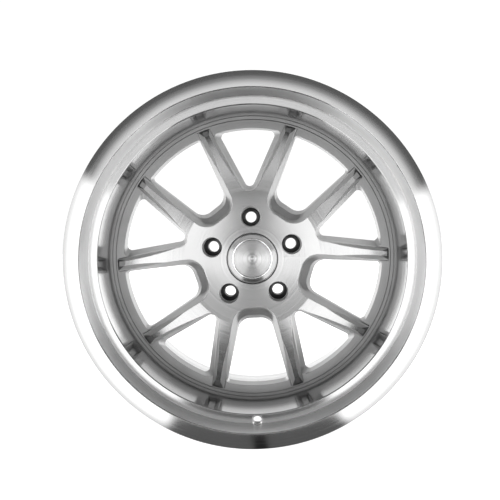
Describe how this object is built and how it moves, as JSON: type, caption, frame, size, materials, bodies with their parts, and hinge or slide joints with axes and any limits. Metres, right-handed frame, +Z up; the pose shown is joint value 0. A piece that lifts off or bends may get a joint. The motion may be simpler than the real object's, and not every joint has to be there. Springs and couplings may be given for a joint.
{
  "type": "forged racing wheel rim",
  "caption": "Deep-lipped forged racing wheel with paired spokes, a polished stepped lip, a recessed centre and a push-in centre cap.",
  "frame": {"origin": "centre of the hub bore on the mounting pad plane", "axes": "Y is the wheel's axis with -Y towards the street side (outboard); +Z is up, through one lug hole; +X is to the right seen from the street side"},
  "size_m": [0.492, 0.259, 0.492],
  "materials": {
    "machined_alloy": "turned, with satin silver pockets",
    "polished_alloy": "polished",
    "barrel_alloy": "satin",
    "sealant": "matt",
    "screw_steel": "zinc plated",
    "insert_steel": "plain",
    "seat_steel": "black oxide",
    "cap_silver": "satin silver lacquer",
    "spring_steel": "plain",
    "bright_ring": "bright",
    "spun_alloy": "spun",
    "bonding_pad": "matt"
  },
  "bodies": {
    "wheel": {"forged_centre": "machined_alloy", "outer_rim_half": "polished_alloy", "inner_rim_half": "barrel_alloy", "rim_seal_ring": "sealant", "rim_bolts": "screw_steel", "rim_bolt_washers": "screw_steel", "rim_thread_inserts": "insert_steel", "lug_seat_1": "seat_steel", "lug_seat_2": "seat_steel", "lug_seat_3": "seat_steel", "lug_seat_4": "seat_steel", "lug_seat_5": "seat_steel"},
    "centre_cap": {"cap_housing": "cap_silver", "cap_spring_ring": "spring_steel", "cap_bezel": "bright_ring", "cap_disc": "spun_alloy", "cap_disc_adhesive": "bonding_pad"}
  },
  "joints": [
    {"name": "cap_pull", "type": "slide", "parent": "wheel", "child": "centre_cap", "axis": [0, -1, 0], "range_m": [0, 0.11]}
  ]
}
